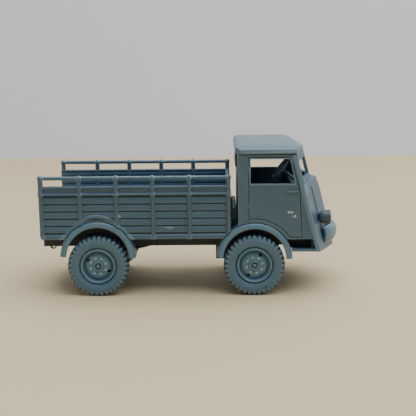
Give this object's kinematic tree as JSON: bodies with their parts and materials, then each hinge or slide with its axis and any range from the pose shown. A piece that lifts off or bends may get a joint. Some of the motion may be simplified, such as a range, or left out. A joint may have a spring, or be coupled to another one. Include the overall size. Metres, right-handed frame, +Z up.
{
  "type": "military cargo truck scale model",
  "caption": "Plastic scale model of a two-axle military truck with a cab over the engine, an open V-shaped windscreen, a planked cargo bed with pipe rails and turning wheels.",
  "frame": {"origin": "centre of the footprint, on the surface the wheels stand on", "axes": "+X towards the nose, +Y to the truck's left, +Z up"},
  "size_m": [0.068, 0.0284, 0.0336],
  "materials": {
    "moulded_body": "grey-green moulded polystyrene, satin",
    "moulded_roof": "grey-green moulded polystyrene, satin, lightly rubbed",
    "moulded_tyre": "grey-green moulded polystyrene, matt, with moulded tread",
    "moulded_wheel": "grey-green moulded polystyrene, satin",
    "moulded_chassis": "grey-green moulded polystyrene, matt",
    "moulded_interior": "grey-green moulded polystyrene, matt"
  },
  "bodies": {
    "truck": {"front_axle": "moulded_chassis", "rear_axle": "moulded_chassis", "spring_front_right": "moulded_chassis", "spring_front_left": "moulded_chassis", "spring_rear_right": "moulded_chassis", "spring_rear_left": "moulded_chassis", "chassis_frame": "moulded_chassis", "engine_and_gearbox": "moulded_chassis", "drive_shafts": "moulded_chassis", "tow_hook": "moulded_chassis", "mudguard_front_right": "moulded_body", "mudguard_front_left": "moulded_body", "mudguard_rear_right": "moulded_body", "mudguard_rear_left": "moulded_body", "bed_floor": "moulded_body", "bed_side_right": "moulded_body", "bed_side_left": "moulded_body", "bed_headboard": "moulded_body", "bed_tailgate": "moulded_body", "stowage_box": "moulded_body", "cab_side_right": "moulded_body", "cab_side_left": "moulded_body", "cab_back_wall": "moulded_body", "cab_floor": "moulded_interior", "cab_roof": "moulded_roof", "windscreen_frame": "moulded_body", "nose_shield": "moulded_body", "headlight_right": "moulded_body", "headlight_left": "moulded_body", "front_bumper": "moulded_body", "dashboard": "moulded_interior", "steering_wheel": "moulded_interior", "seat_right": "moulded_interior", "seat_left": "moulded_interior", "engine_cover": "moulded_interior", "step_right": "moulded_body", "step_left": "moulded_body"},
    "wheel_front_right": {"tyre_front_right": "moulded_tyre", "wheel_disc_front_right": "moulded_wheel"},
    "wheel_front_left": {"tyre_front_left": "moulded_tyre", "wheel_disc_front_left": "moulded_wheel"},
    "wheel_rear_right": {"tyre_rear_right": "moulded_tyre", "wheel_disc_rear_right": "moulded_wheel"},
    "wheel_rear_left": {"tyre_rear_left": "moulded_tyre", "wheel_disc_rear_left": "moulded_wheel"}
  },
  "joints": [
    {"name": "front_right_wheel_spin", "type": "hinge", "parent": "truck", "child": "wheel_front_right", "pos_m": [0.01429, -0.0123, 0.00681], "axis": [0, 1, 0], "continuous": true},
    {"name": "front_left_wheel_spin", "type": "hinge", "parent": "truck", "child": "wheel_front_left", "pos_m": [0.01429, 0.0123, 0.00681], "axis": [0, 1, 0], "continuous": true},
    {"name": "rear_right_wheel_spin", "type": "hinge", "parent": "truck", "child": "wheel_rear_right", "pos_m": [-0.02043, -0.0123, 0.00681], "axis": [0, 1, 0], "continuous": true},
    {"name": "rear_left_wheel_spin", "type": "hinge", "parent": "truck", "child": "wheel_rear_left", "pos_m": [-0.02043, 0.0123, 0.00681], "axis": [0, 1, 0], "continuous": true}
  ]
}
